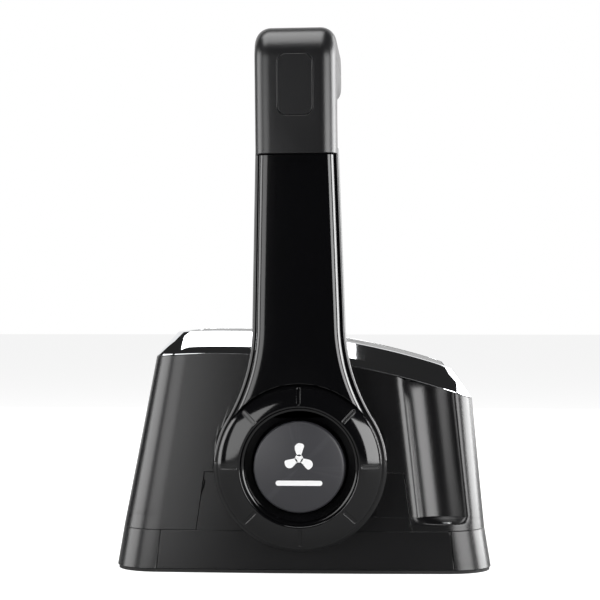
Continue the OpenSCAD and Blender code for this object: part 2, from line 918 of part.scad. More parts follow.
module chassis_screws() {
    color(steel)
        for (side = [-1, 1])
            for (x = [-foot_w / 2 + foot_edge, foot_w / 2 - foot_edge])
                translate([x, side * (plate_y + plate_t + foot_l / 2), floor_z]) {
                    translate([0, 0, 0.05]) cylinder(r = chassis_screw_r, h = foot_t);
                    translate([0, 0, foot_t]) cylinder(r = foot_head_r, h = foot_head_t);
                }
}

module shaft_bushings() {
    color(brass)
        for (side = [-1, 1]) {
            lo = side < 0 ? -plate_y - plate_t : plate_y - bush_over;
            tube(0, hub_z, bush_r, shaft_r + run_gap, lo, lo + plate_t + bush_over);
            flange = side < 0 ? -plate_y : plate_y - bush_over;
            tube(0, hub_z, bush_flange_r, shaft_r + run_gap, flange, flange + bush_over);
        }
}

clip_y = plate_y + plate_t + 0.4;
clip_t = 1.2;
module shaft_circlip() {
    color(steel) tube(0, hub_z, shaft_r + 3, shaft_r - 1, clip_y + 0.05, clip_y + clip_t - 0.05);
}

// Gears
pressure = 20;
gear_y0 = -12;
gear_y1 = gear_y0 + gear_t;
backlash = 0.24;
wheel_hub_r = shaft_r + 4.5;

function involute(a) = tan(a) * 180 / PI - a;

function tooth_half(teeth, r) =
    let (pitch = gear_m * teeth / 2, base = pitch * cos(pressure))
    90 / teeth - backlash / 2 / pitch * 90 / PI + involute(pressure) - involute(acos(min(1, base / r)));

function tooth_flank(teeth) =
    let (pitch = gear_m * teeth / 2, low = max(pitch * cos(pressure), pitch - 1.2 * gear_m),
        high = pitch + gear_m)
    [for (i = [0:4]) let (r = low + (high - low) * i / 4) [r, tooth_half(teeth, r)]];

module gear_outline(teeth, phase) {
    flank = tooth_flank(teeth);
    root_r = gear_m * teeth / 2 - 1.25 * gear_m;
    rotate(phase)
        polygon([for (t = [0:teeth - 1]) let (a = t * 360 / teeth)
            each concat(
                [[root_r * cos(a - flank[0][1] - 0.4), root_r * sin(a - flank[0][1] - 0.4)]],
                [for (i = [0:4]) flank[i][0] * [cos(a - flank[i][1]), sin(a - flank[i][1])]],
                [for (i = [4:-1:0]) flank[i][0] * [cos(a + flank[i][1]), sin(a + flank[i][1])]],
                [[root_r * cos(a + flank[0][1] + 0.4), root_r * sin(a + flank[0][1] + 0.4)]])]);
}

module drive_gear() {
    color(steel)
        difference() {
            union() {
                across(gear_y0, gear_y1) translate([0, hub_z]) gear_outline(drive_teeth, shift_turn);
                rod(0, hub_z, wheel_hub_r, gear_y1 - 1, gear_y1 + 4);
            }
            keyed_bore();
        }
}

module shift_gear() {
    color(steel)
        difference() {
            across(gear_y0, gear_y1) translate([shift_x, shift_z])
                gear_outline(shift_teeth, shift_turn + 180 + 180 / shift_teeth);
            rod(shift_x, shift_z, axle_r + run_gap, -plate_y, plate_y);
            at_rivets() rod(0, 0, rivet_r, gear_y0 - 1, gear_y1 + 1);
        }
}

module shift_axle() {
    color(steel) rod(shift_x, shift_z, axle_r, -plate_y - plate_t, plate_y + plate_t);
}

module axle_sleeves() {
    color(nylon) {
        tube(shift_x, shift_z, axle_r + 2.4, axle_r, -plate_y, gear_y0 - 0.2);
        tube(shift_x, shift_z, axle_r + 2.4, axle_r, gear_y1 + arm_t + 0.2, plate_y);
    }
}

// Arms and cable pins
arm_t = 4;
tip_r = 5;
pin_r = 3;
pin_over = 4.4;
shift_arm_dip = -20;
rivet_r = 1.6;
rivet_ring = axle_r + 5.6;

module at_rivets() {
    for (a = [shift_arm_dip, shift_arm_dip + 120, shift_arm_dip + 240])
        translate([shift_x + rivet_ring * cos(a), 0, shift_z + rivet_ring * sin(a)]) children();
}

module arm_plate(length, root_r) {
    circle(r = root_r);
    translate([length, 0]) circle(r = tip_r);
    polygon([[0, -root_r], [length, -tip_r], [length, tip_r], [0, root_r]]);
}

module shift_arm() {
    color(casting)
        difference() {
            across(gear_y1, gear_y1 + arm_t) translate([shift_x, shift_z]) rotate(shift_arm_dip)
                arm_plate(shift_arm_l, axle_r + 8);
            rod(shift_x, shift_z, axle_r + run_gap, -plate_y, plate_y);
            at_rivets() rod(0, 0, rivet_r, 2 * gear_y0, plate_y);
            rod(shift_x + shift_arm_l * cos(shift_arm_dip), shift_z + shift_arm_l * sin(shift_arm_dip),
                pin_r, 2 * gear_y0, plate_y);
        }
}

module shift_rivets() {
    color(steel)
        at_rivets() rod(0, 0, rivet_r, gear_y0, gear_y1 + arm_t);
}

module shift_cable_pin() {
    color(steel)
        rod(shift_x + shift_arm_l * cos(shift_arm_dip), shift_z + shift_arm_l * sin(shift_arm_dip),
            pin_r, gear_y1, gear_y1 + arm_t + pin_over);
}

crank_y = 12;
module throttle_crank() {
    color(casting)
        difference() {
            union() {
                across(crank_y, crank_y + arm_t) translate([0, hub_z]) arm_plate(crank_l, shaft_r + 6);
                rod(0, hub_z, wheel_hub_r, crank_y - 4, crank_y + 1);
            }
            keyed_bore();
            rod(crank_l, hub_z, pin_r, crank_y - 1, crank_y + arm_t + 1);
        }
}

module throttle_cable_pin() {
    color(steel) rod(crank_l, hub_z, pin_r, crank_y, crank_y + arm_t + pin_over);
}

// Two bars hold the ends of the cable casings.
anchor_z = floor_z + 1.4;
anchor_h = 6;
anchor_w = 9;
clamp_l = 16;
clamp_t = 1.6;
casing_r = 3;
anchors = [
    [shift_x + shift_arm_l, gear_y1 + arm_t + pin_over / 2],
    [crank_l, crank_y + arm_t + pin_over / 2]
];

module cable_anchors() {
    color(casting)
        for (p = anchors)
            difference() {
                translate([p[0] - anchor_w / 2, -plate_y, anchor_z])
                    cube([anchor_w, 2 * plate_y, anchor_h]);
                translate([p[0], p[1], 0]) cylinder(r = casing_r, h = hub_z);
            }
}

module cable_clamps() {
    color(steel)
        for (p = anchors)
            translate([p[0], p[1], anchor_z + anchor_h])
                difference() {
                    translate([-anchor_w / 2, -clamp_l / 2, 0]) cube([anchor_w, clamp_l, clamp_t]);
                    translate([0, 0, -1]) cylinder(r = casing_r, h = clamp_t + 2);
                }
}

// Detent that marks neutral and the shift positions
detent_y0 = 26;
detent_t = 6;
notch_turns = [0, 30, -30];
block_z = hub_z + detent_r + plunger_travel + 2.6;
block_h = 15;
plunger_tip = hub_z + detent_r + free_gap;
plunger_l = 12;
spring_z = plunger_tip + plunger_l;
notch_depth = 1.2;
block_w = 18;
block_l = 8;

module detent_wheel() {
    color(steel)
        difference() {
            rod(0, hub_z, detent_r, detent_y0, detent_y0 + detent_t);
            keyed_bore();
            for (a = notch_turns)
                translate([0, 0, hub_z]) rotate([0, a, 0])
                    translate([0, 0, detent_r + plunger_r - notch_depth])
                        rod(0, 0, plunger_r, detent_y0 - 1, detent_y0 + detent_t + 1);
        }
}

module detent_block() {
    mid = detent_y0 + detent_t / 2;
    color(casting)
        difference() {
            translate([-block_w / 2, mid - block_l, block_z])
                cube([block_w, plate_y - mid + block_l, block_h]);
            translate([0, mid, 0]) cylinder(r = plunger_r + run_gap, h = big);
        }
}

module detent_plunger() {
    color(steel)
        translate([0, detent_y0 + detent_t / 2, plunger_tip + plunger_r]) {
            cylinder(r = plunger_r, h = plunger_l - plunger_r);
            sphere(r = plunger_r);
        }
}

module detent_spring() {
    color(steel)
        translate([0, detent_y0 + detent_t / 2, spring_z])
            coil(plunger_r - 0.9, 0.4, block_z + block_h - 2 - spring_z, 5);
}

module detent_plug() {
    color(brass)
        translate([0, detent_y0 + detent_t / 2, block_z + block_h - 2]) {
            cylinder(r = plunger_r, h = 2.1);
            translate([0, 0, 2]) cylinder(r = plunger_r + 2, h = 1.6, $fn = 6);
        }
}

// Adjustable drag on the shaft
drag_y0 = -34;
drag_w = 7;
drag_r = 14;
drag_top = hub_z + drag_r + 14;
drag_mid = drag_y0 + drag_w / 2;
drag_screw_r = 3;
drag_bar_w = 18;
drag_bar_t = 6;
pad_w = 14;
pad_h = 6;

module drag_drum() {
    color(casting)
        difference() {
            rod(0, hub_z, drag_r, drag_y0, drag_y0 + drag_w);
            keyed_bore();
        }
}

module drag_pad() {
    color(brass)
        difference() {
            translate([-pad_w / 2, drag_y0, hub_z + drag_r - 2]) cube([pad_w, drag_w, pad_h]);
            rod(0, hub_z, drag_r + 0.3, drag_y0 - 1, drag_y0 + drag_w + 1);
        }
}

module drag_bracket() {
    color(casting)
        difference() {
            translate([-drag_bar_w / 2, -plate_y, drag_top - drag_bar_t])
                cube([drag_bar_w, plate_y + drag_y0 + drag_w + 2, drag_bar_t]);
            translate([0, drag_mid, 0]) cylinder(r = drag_screw_r, h = big);
        }
}

module drag_screw() {
    color(steel)
        translate([0, drag_mid, hub_z + drag_r + pad_h - 2]) {
            cylinder(r = drag_screw_r, h = drag_top - hub_z - drag_r + 1);
            translate([0, 0, drag_top - hub_z - drag_r]) cylinder(r = drag_screw_r + 2, h = 4, $fn = 6);
        }
}

// Neutral start switch
cam_y0 = -24;
cam_t = 5;
cam_r = 13;
switch_x = cam_r + 7;
switch_w = 20;
switch_h = 16;
switch_t = 9;
switch_y0 = cam_y0 + cam_t / 2 - switch_t / 2;
button_r = 1.6;
button_bore = 5;
dent_r = 3.4;

module switch_cam() {
    color(nylon)
        difference() {
            rod(0, hub_z, cam_r, cam_y0, cam_y0 + cam_t);
            keyed_bore();
            rod(cam_r + 2.2, hub_z, dent_r, cam_y0 - 1, cam_y0 + cam_t + 1);
        }
}

module neutral_switch() {
    color(gloss_black)
        difference() {
            translate([switch_x, switch_y0, hub_z - switch_h / 2]) cube([switch_w, switch_t, switch_h]);
            translate([switch_x - 1, switch_y0 + switch_t / 2, hub_z]) rotate([0, 90, 0])
                cylinder(r = button_r + run_gap, h = 1 + button_bore);
        }
}

module switch_bracket() {
    color(casting)
        translate([switch_x + 2, -plate_y, hub_z - switch_h / 2 + 2])
            cube([switch_w - 4, plate_y + switch_y0, switch_h - 4]);
}

module switch_button() {
    color(switch_red)
        translate([cam_r + free_gap, switch_y0 + switch_t / 2, hub_z]) rotate([0, 90, 0])
            cylinder(r = button_r, h = switch_x + button_bore - 2 - cam_r - free_gap);
}

mounting_gasket();
base_frame();
skirt_panel_near();
skirt_panel_far();
housing();
slot_filler();
far_side_blank();
chrome_bezel();
top_panel();
housing_screws();
lever_core();
lever_front_cover();
lever_rear_cover();
hub_ring();
recess_cup();
cover_screws();
grip_cover();
grip_underside();
grip_screws();
switch_blank();
shaft_nut();
main_shaft();
shaft_key();
button_cap();
button_stem();
button_spring();
shaft_collar();
shaft_seal();
chassis_plate_near();
chassis_plate_far();
chassis_spacers();
chassis_screws();
shaft_bushings();
shaft_circlip();
drive_gear();
shift_gear();
shift_axle();
axle_sleeves();
shift_arm();
shift_rivets();
shift_cable_pin();
throttle_crank();
throttle_cable_pin();
cable_anchors();
cable_clamps();
detent_wheel();
detent_block();
detent_plunger();
detent_spring();
detent_plug();
drag_drum();
drag_pad();
drag_bracket();
drag_screw();
switch_cam();
neutral_switch();
switch_bracket();
switch_button();
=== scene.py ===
"""A single-lever shift and throttle control: gloss lever, satin housing and chrome bezel."""
import json
import math

import bmesh
import bpy
from mathutils import Matrix, Vector


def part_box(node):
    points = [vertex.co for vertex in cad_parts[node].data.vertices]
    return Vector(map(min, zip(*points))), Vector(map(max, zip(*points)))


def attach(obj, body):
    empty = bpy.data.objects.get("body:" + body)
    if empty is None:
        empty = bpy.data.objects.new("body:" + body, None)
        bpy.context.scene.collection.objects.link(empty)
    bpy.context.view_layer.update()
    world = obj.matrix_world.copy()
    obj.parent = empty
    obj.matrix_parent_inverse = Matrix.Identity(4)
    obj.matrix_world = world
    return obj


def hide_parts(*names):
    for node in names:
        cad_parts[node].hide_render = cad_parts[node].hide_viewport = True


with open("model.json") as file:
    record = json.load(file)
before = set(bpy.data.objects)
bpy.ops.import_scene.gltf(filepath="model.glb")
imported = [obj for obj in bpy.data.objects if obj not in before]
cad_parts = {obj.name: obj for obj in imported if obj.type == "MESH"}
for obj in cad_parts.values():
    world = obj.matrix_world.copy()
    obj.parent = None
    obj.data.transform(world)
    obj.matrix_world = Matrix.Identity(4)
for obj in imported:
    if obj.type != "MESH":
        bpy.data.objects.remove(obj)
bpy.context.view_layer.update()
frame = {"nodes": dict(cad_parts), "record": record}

# Shapes are worked out in millimetres and scaled once, when a piece is finished.
MM = 1000.0


def node_box(node):
    low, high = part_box(node)
    return low * MM, high * MM


# ---------------------------------------------------------------- sizes

base_low, base_high = node_box("base_frame")
rim_low, roof_high = node_box("chrome_bezel")
_, rear_high = node_box("lever_rear_cover")
ring_low, ring_high = node_box("hub_ring")
cup_low, cup_high = node_box("recess_cup")
cap_low, cap_high = node_box("button_cap")
grip_low, grip_high = node_box("grip_cover")
skirt_low, skirt_high = node_box("skirt_panel_near")
filler_low, filler_high = node_box("slot_filler")
shaft_low, shaft_high = node_box("main_shaft")

SEAM_Z = base_high.z
DECK_Z = base_low.z
SEAM_X = base_high.x - 3.0
# The skirt panels are the widest part: the base frame's own box is narrower, cut back under them.
BASE_W = -skirt_low.y
SEAM_W = BASE_W - 1.5
CORNER_R = 19.0
BEZEL_RISE = 11.4
BEZEL_SLOPE = 10.4
RIM_Z = roof_high.z - BEZEL_RISE
RIM_R = 16.0
TOP_R = 9.0
ARCH_R = 360.0
APEX_X = -41.0
SIDE_BOW = 0.05
WALL = 2.6
SKIRT_T = 2.0
FLOOR_Z = 6.6
GAP = 0.2

LEDGE_Z = SEAM_Z + 6.6
LEDGE_DROP = 3.2
LEDGE_DISH = 0.8
FLUTE_X = SEAM_X - 19.0
FLUTE_R = 16.0
FLUTE_D = 7.5
FLUTE_LEAN = 10.0 / (RIM_Z - SEAM_Z)
SIDE_DRAFT = math.tan(math.radians(5))
FLUTE_Y = 54.2 + FLUTE_R - FLUTE_D
FLUTE_EDGE = 3.2

HUB_Z = (shaft_low.z + shaft_high.z) / 2
HUB_R = (ring_high.x - ring_low.x) / 2 + 0.3
REAR_EXTRA = 2.4
BLEND_R = 90.0
ARM_ROOT = 19.7
ARM_TOP = 17.5
LEAN = math.radians(-0.6)
SPLIT_Y = -70.0
CUP_R = 27.7
CAP_R = (cap_high.x - cap_low.x) / 2
GRIP_W = 38.8
GRIP_FOOT = HUB_Z + 208.8 - 61.0
TOP_Z = HUB_Z + 208.77
BLANK_Z = GRIP_FOOT + 0.53 * 61.0


# ---------------------------------------------------------------- mesh helpers

def round_corners(bm, corners, radius, steps):
    if radius > 0:
        bmesh.ops.bevel(bm, geom=corners, offset=radius, offset_type="OFFSET", affect="VERTICES",
                        segments=steps, profile=0.5, material=-1, clamp_overlap=False)


def flat_face(points, rounds, steps=10):
    """One flat face in X and Y with its corners rounded"""
    bm = bmesh.new()
    corners = [bm.verts.new((x, y, 0)) for x, y in points]
    bm.faces.new(corners)
    for radius in sorted(set(rounds)):
        round_corners(bm, [v for v, r in zip(corners, rounds) if r == radius], radius, steps)
    return bm


def raised(bm, depth):
    """Thickens a flat face along Z into a closed solid"""
    grown = bmesh.ops.extrude_face_region(bm, geom=list(bm.faces))["geom"]
    bmesh.ops.translate(bm, vec=(0, 0, depth), verts=[g for g in grown if isinstance(g, bmesh.types.BMVert)])
    bmesh.ops.recalc_face_normals(bm, faces=bm.faces)
    return bm


def stand_up(bm, y):
    """Turns a solid drawn in X and Y to stand in X and Z, with its base at y and its height toward -Y"""
    bmesh.ops.rotate(bm, cent=(0, 0, 0), matrix=Matrix.Rotation(math.pi / 2, 3, "X"), verts=bm.verts)
    bmesh.ops.translate(bm, vec=(0, y, 0), verts=bm.verts)
    return bm


def plate(points, rounds, y0, y1, steps=10):
    """A prism with its outline in X and Z, from y0 to y1"""
    return stand_up(raised(flat_face(points, rounds, steps), y1 - y0), y1)


def rod(x, z, radius, y0, y1, steps=64):
    bm = bmesh.new()
    bmesh.ops.create_circle(bm, cap_ends=True, radius=radius, segments=steps)
    raised(bm, y1 - y0)
    stand_up(bm, y1)
    bmesh.ops.translate(bm, vec=(x, 0, z), verts=bm.verts)
    return bm


def post(x, y, radius, z0, z1, steps=40):
    bm = bmesh.new()
    bmesh.ops.create_circle(bm, cap_ends=True, radius=radius, segments=steps)
    raised(bm, z1 - z0)
    bmesh.ops.translate(bm, vec=(x, y, z0), verts=bm.verts)
    return bm


def turned(profile, steps=160):
    """A closed turned shape round the hub's axis; the profile gives radius and Y, in order"""
    bm = bmesh.new()
    verts = [bm.verts.new((radius, y, 0)) for radius, y in profile]
    edges = [bm.edges.new(pair) for pair in zip(verts, verts[1:] + verts[:1])]
    bmesh.ops.spin(bm, geom=verts + edges, cent=(0, 0, 0), axis=(0, 1, 0), angle=2 * math.pi,
                   steps=steps, use_merge=True, use_duplicate=False)
    bmesh.ops.remove_doubles(bm, verts=bm.verts, dist=1e-4)
    bmesh.ops.recalc_face_normals(bm, faces=bm.faces)
    bmesh.ops.translate(bm, vec=(0, 0, HUB_Z), verts=bm.verts)
    return bm


def joined(*parts):
    """Several closed shells as one bmesh"""
    bm = bmesh.new()
    for part in parts:
        mesh = bpy.data.meshes.new("part")
        part.to_mesh(mesh)
        bm.from_mesh(mesh)
        bpy.data.meshes.remove(mesh)
        part.free()
    return bm


def copy_of(bm):
    return bm.copy()


def carved(bm, cutter, operation="DIFFERENCE"):
    """Cuts one closed shell with another"""
    objects = []
    for part in (bm, cutter):
        mesh = bpy.data.meshes.new("carving")
        part.to_mesh(mesh)
        part.free()
        objects.append(bpy.data.objects.new("carving", mesh))
        bpy.context.scene.collection.objects.link(objects[-1])
    body, tool = objects
    cut = body.modifiers.new("cut", "BOOLEAN")
    cut.object = tool
    cut.operation = operation
    cut.solver = "EXACT"
    ready = bpy.context.evaluated_depsgraph_get()
    result = bpy.data.meshes.new_from_object(body.evaluated_get(ready))
    out = bmesh.new()
    out.from_mesh(result)
    for thing in objects:
        mesh = thing.data
        bpy.data.objects.remove(thing)
        bpy.data.meshes.remove(mesh)
    bpy.data.meshes.remove(result)
    bmesh.ops.remove_doubles(out, verts=out.verts, dist=1e-3)
    return out


def leaned(bm):
    bmesh.ops.rotate(bm, cent=(0, 0, HUB_Z), matrix=Matrix.Rotation(LEAN, 3, "Y"), verts=bm.verts)
    return bm


def make_piece(name, bm, finish, body, nodes=(), edge=0.3, sharp=38):
    """Turns a bmesh in millimetres into a finished piece that rides on a body"""
    bmesh.ops.scale(bm, vec=(1 / MM,) * 3, verts=bm.verts)
    mesh = bpy.data.meshes.new(name)
    bm.to_mesh(mesh)
    bm.free()
    if not mesh.polygons:
        raise ValueError(f"{name} came out empty, so the node it stands for would be missing")
    for polygon in mesh.polygons:
        polygon.use_smooth = True
    mesh.set_sharp_from_angle(angle=math.radians(sharp))
    mesh.materials.append(finish)
    piece = bpy.data.objects.new(name, mesh)
    bpy.context.scene.collection.objects.link(piece)
    if edge:
        soft = piece.modifiers.new("edges", "BEVEL")
        soft.width = edge / MM
        soft.segments = 2
        soft.limit_method = "ANGLE"
        soft.angle_limit = math.radians(sharp)
        soft.use_clamp_overlap = False
        soft.harden_normals = True
    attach(piece, body)
    if nodes:
        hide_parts(*nodes)
    return piece


# ---------------------------------------------------------------- body outlines

SIDE_CUTS = 130
END_CUTS = 36
CORNER_STEPS = 18


def arch(x):
    return math.sqrt(ARCH_R ** 2 - (x - APEX_X) ** 2) - ARCH_R


def plan_ring(bm, x0, x1, w, radius, height):
    """A closed ring round the body: bowed sides, round corners, at the height each point asks for"""
    before = set(bm.edges)
    corners = [bm.verts.new(p) for p in ((x0, -w, 0), (x1, -w, 0), (x1, w, 0), (x0, w, 0))]
    bm.faces.new(corners)
    round_corners(bm, corners, radius, CORNER_STEPS)
    faces = {f for e in bm.edges if e not in before for f in e.link_faces}
    bmesh.ops.delete(bm, geom=list(faces), context="FACES_ONLY")
    straight = [e for e in bm.edges if e not in before and e.calc_length() > 25]
    sides = [e for e in straight if abs(e.verts[0].co.x - e.verts[1].co.x) > 1]
    ends = [e for e in straight if e not in sides]
    bmesh.ops.subdivide_edges(bm, edges=sides, cuts=SIDE_CUTS)
    bmesh.ops.subdivide_edges(bm, edges=ends, cuts=END_CUTS)
    ring = [e for e in bm.edges if e not in before]
    for v in {v for e in ring for v in e.verts}:
        across = (2 * v.co.x - x0 - x1) / (x1 - x0)
        v.co.y *= 1 - SIDE_BOW * across ** 2
        v.co.z = height(v.co.x) if callable(height) else height
    return ring


def lofted(bm, rings):
    """Joins each ring to the next and the last to the first, as a closed wall"""
    for lower, upper in zip(rings, rings[1:] + rings[:1]):
        bmesh.ops.bridge_loops(bm, edges=lower + upper)
    bmesh.ops.recalc_face_normals(bm, faces=bm.faces)
    return bm


def between(a, b, t):
    return a + (b - a) * t


def body_ring(bm, t, inset, low=SEAM_Z):
    """A ring of the housing at t of its height, which is level at the seam and arched at the rim"""
    return plan_ring(
        bm,
        between(-SEAM_X, rim_low.x, t) + inset,
        between(SEAM_X, roof_high.x, t) - inset,
        between(SEAM_W, roof_high.y, t) - inset,
        between(CORNER_R, RIM_R, t) - inset,
        lambda x: between(low, RIM_Z + arch(x), t))


def eased(depth, edge):
    """A depth that starts softly instead of at a corner"""
    if depth <= -edge:
        return 0.0
    if depth >= edge:
        return depth
    return (depth + edge) ** 2 / (4 * edge)


def flute_depth(co, grow):
    """How deep a point of the wall lies inside its flute, and the way out"""
    side = 1 if co.y > 0 else -1
    up = co.z - (LEDGE_Z - LEDGE_DROP)
    axis = Vector((FLUTE_X - up * FLUTE_LEAN, side * (FLUTE_Y - up * SIDE_DRAFT), co.z))
    away = co - axis
    return eased(FLUTE_R + grow - away.length, FLUTE_EDGE), away.normalized()


def fluted(ring, share, grow=0.0, dish=0.0):
    """Pushes a ring of the wall into the flutes by a share of their depth"""
    for v in {v for e in ring for v in e.verts}:
        depth, way = flute_depth(v.co, grow)
        v.co += way * depth * share
        v.co.z -= dish * min(1.0, depth / FLUTE_D) ** 2


def housing_wall():
    """The whole wall of the housing before its openings are cut, as a closed shell"""
    bm = bmesh.new()
    rings = []

    def at_height(z, inset=0.0):
        return plan_ring(
            bm,
            between(-SEAM_X, rim_low.x, (z - SEAM_Z) / (RIM_Z - SEAM_Z)) + inset,
            between(SEAM_X, roof_high.x, (z - SEAM_Z) / (RIM_Z + arch(SEAM_X) - SEAM_Z)) - inset,
            between(SEAM_W, roof_high.y, (z - SEAM_Z) / (RIM_Z - SEAM_Z)) - inset,
            CORNER_R - inset, z)

    rings.append(at_height(SEAM_Z))
    low = LEDGE_Z - LEDGE_DROP
    rings.append(at_height(low - 1.0))
    rings.append(at_height(low - 0.3))
    for step in range(12):
        share = step / 11
        ring = at_height(low + LEDGE_DROP * share)
        across = (share - 0.12) / 0.76
        bump = math.sin(math.pi * min(1.0, max(0.0, across))) ** 0.5 if 0.12 < share < 0.88 else 0
        fluted(ring, 0.06 + 0.94 * share, dish=LEDGE_DISH * bump)
        rings.append(ring)
    first = (LEDGE_Z + 0.8 - SEAM_Z) / (RIM_Z - SEAM_Z)
    for step in range(24):
        ring = body_ring(bm, between(first, 1.0, step / 23), 0.0)
        fluted(ring, 1.0)
        rings.append(ring)
    for t in (1.0, 0.75, 0.5, 0.25, first):
        ring = body_ring(bm, t, WALL)
        fluted(ring, 1.0, grow=WALL)
        rings.append(ring)
    ring = at_height(SEAM_Z + 1.0, WALL)
    fluted(ring, 1.0, grow=WALL)
    rings.append(ring)
    rings.append(at_height(SEAM_Z, WALL))
    return lofted(bm, rings)


def band_ring(bm, z, inset):
    """A ring of the base band at height z"""
    share = (z - DECK_Z) / (SEAM_Z - DECK_Z)
    half = between(base_high.x, SEAM_X, share) - inset
    width = between(BASE_W, SEAM_W, share) - inset
    return plan_ring(bm, -half, half, width, CORNER_R - inset, z)


def band_shell(outer, inner, z0, z1):
    """A closed strip that follows the base band between two insets"""
    bm = bmesh.new()
    return lofted(bm, [band_ring(bm, z0, outer), band_ring(bm, z1, outer),
                       band_ring(bm, z1, inner), band_ring(bm, z0, inner)])


def skirt_plate(shrink, y0, y1):
    return plate([
        (skirt_low.x - GAP + shrink, DECK_Z - 1 + shrink),
        (skirt_high.x + GAP - shrink, DECK_Z - 1 + shrink),
        (skirt_high.x + GAP - 2 - shrink, SEAM_Z + 1),
        (skirt_low.x - GAP + 2 + shrink, SEAM_Z + 1)], [0, 0, 0, 0], y0, y1)


def slot_points(shrink):
    return [(filler_low.x - GAP + shrink, SEAM_Z - 1), (filler_high.x + GAP - shrink, SEAM_Z - 1),
            (filler_high.x + GAP - 4 - shrink, filler_high.z + GAP - shrink),
            (filler_low.x - GAP + 4 + shrink, filler_high.z + GAP - shrink)]


# ---------------------------------------------------------------- finishes

def shader_group(name, inputs, outputs):
    group = bpy.data.node_groups.new(name, "ShaderNodeTree")
    for socket, kind, value in inputs:
        made = group.interface.new_socket(name=socket, in_out="INPUT", socket_type=kind)
        made.default_value = value
    for socket, kind in outputs:
        group.interface.new_socket(name=socket, in_out="OUTPUT", socket_type=kind)
    return group, group.nodes.new("NodeGroupInput"), group.nodes.new("NodeGroupOutput")


def node(tree, kind, **values):
    made = tree.nodes.new(kind)
    for key, value in values.items():
        if hasattr(made, key):
            setattr(made, key, value)
        else:
            made.inputs[key.replace("_", " ")].default_value = value
    return made


def moulded_grain_group():
    """Spark-eroded grain on moulded plastic: a height and a mask, on the piece's own coordinates"""
    group, given, gives = shader_group(
        "moulded_grain",
        [("Scale", "NodeSocketFloat", 3000.0), ("Unevenness", "NodeSocketFloat", 0.35)],
        [("Height", "NodeSocketFloat"), ("Mask", "NodeSocketFloat")])
    place = group.nodes.new("ShaderNodeTexCoord")
    fine = node(group, "ShaderNodeTexNoise", Detail=3.0, Roughness=0.6)
    cells = node(group, "ShaderNodeTexVoronoi", feature="SMOOTH_F1")
    broad = node(group, "ShaderNodeTexNoise", Scale=38.0, Detail=3.0)
    mix = node(group, "ShaderNodeMath", operation="ADD")
    spread = node(group, "ShaderNodeMath", operation="MULTIPLY")
    link = group.links.new
    for texture in (fine, cells, broad):
        link(place.outputs["Object"], texture.inputs["Vector"])
    link(given.outputs["Scale"], fine.inputs["Scale"])
    link(given.outputs["Scale"], cells.inputs["Scale"])
    link(fine.outputs["Fac"], mix.inputs[0])
    link(cells.outputs["Distance"], mix.inputs[1])
    link(mix.outputs[0], gives.inputs["Height"])
    link(broad.outputs["Fac"], spread.inputs[0])
    link(given.outputs["Unevenness"], spread.inputs[1])
    link(spread.outputs[0], gives.inputs["Mask"])
    return group


def handling_wear_group():
    """Edges rubbed paler and smoother by handling, with a faint film in between"""
    group, given, gives = shader_group(
        "handling_wear",
        [("Color", "NodeSocketColor", (0.02, 0.02, 0.02, 1)),
         ("Worn Color", "NodeSocketColor", (0.1, 0.1, 0.1, 1)),
         ("Roughness", "NodeSocketFloat", 0.4), ("Worn Roughness", "NodeSocketFloat", 0.3),
         ("Wear", "NodeSocketFloat", 0.3), ("Mask", "NodeSocketFloat", 0.5)],
        [("Color", "NodeSocketColor"), ("Roughness", "NodeSocketFloat")])
    place = group.nodes.new("ShaderNodeTexCoord")
    shape = group.nodes.new("ShaderNodeNewGeometry")
    edges = node(group, "ShaderNodeMapRange")
    edges.inputs["From Min"].default_value = 0.53
    edges.inputs["From Max"].default_value = 0.62
    patches = node(group, "ShaderNodeTexNoise", Scale=160.0, Detail=4.0)
    worn = node(group, "ShaderNodeMath", operation="MULTIPLY")
    amount = node(group, "ShaderNodeMath", operation="MULTIPLY", use_clamp=True)
    colour = node(group, "ShaderNodeMix", data_type="RGBA")
    rough = node(group, "ShaderNodeMix", data_type="FLOAT")
    film = node(group, "ShaderNodeMath", operation="MULTIPLY_ADD")
    film.inputs[1].default_value = 0.3
    link = group.links.new
    link(place.outputs["Object"], patches.inputs["Vector"])
    link(shape.outputs["Pointiness"], edges.inputs["Value"])
    link(edges.outputs["Result"], worn.inputs[0])
    link(patches.outputs["Fac"], worn.inputs[1])
    link(worn.outputs[0], amount.inputs[0])
    link(given.outputs["Wear"], amount.inputs[1])
    link(amount.outputs[0], colour.inputs["Factor"])
    link(given.outputs["Color"], colour.inputs["A"])
    link(given.outputs["Worn Color"], colour.inputs["B"])
    link(amount.outputs[0], rough.inputs["Factor"])
    link(given.outputs["Mask"], film.inputs[0])
    link(given.outputs["Roughness"], film.inputs[2])
    link(film.outputs[0], rough.inputs["A"])
    link(given.outputs["Worn Roughness"], rough.inputs["B"])
    link(colour.outputs["Result"], gives.inputs["Color"])
    link(rough.outputs["Result"], gives.inputs["Roughness"])
    return group


def brushed_group():
    """Fine turning or brushing marks along one axis of a metal piece"""
    group, given, gives = shader_group(
        "brushed_marks",
        [("Stretch", "NodeSocketVector", (200.0, 4000.0, 4000.0))],
        [("Height", "NodeSocketFloat"), ("Mask", "NodeSocketFloat")])
    place = group.nodes.new("ShaderNodeTexCoord")
    scaled = node(group, "ShaderNodeVectorMath", operation="MULTIPLY")
    marks = node(group, "ShaderNodeTexNoise", Scale=1.0, Detail=3.0)
    soft = node(group, "ShaderNodeMath", operation="MULTIPLY")
    soft.inputs[1].default_value = 0.5
    link = group.links.new
    link(place.outputs["Object"], scaled.inputs[0])
    link(given.outputs["Stretch"], scaled.inputs[1])
    link(scaled.outputs[0], marks.inputs["Vector"])
    link(marks.outputs["Fac"], gives.inputs["Height"])
    link(marks.outputs["Fac"], soft.inputs[0])
    link(soft.outputs[0], gives.inputs["Mask"])
    return group


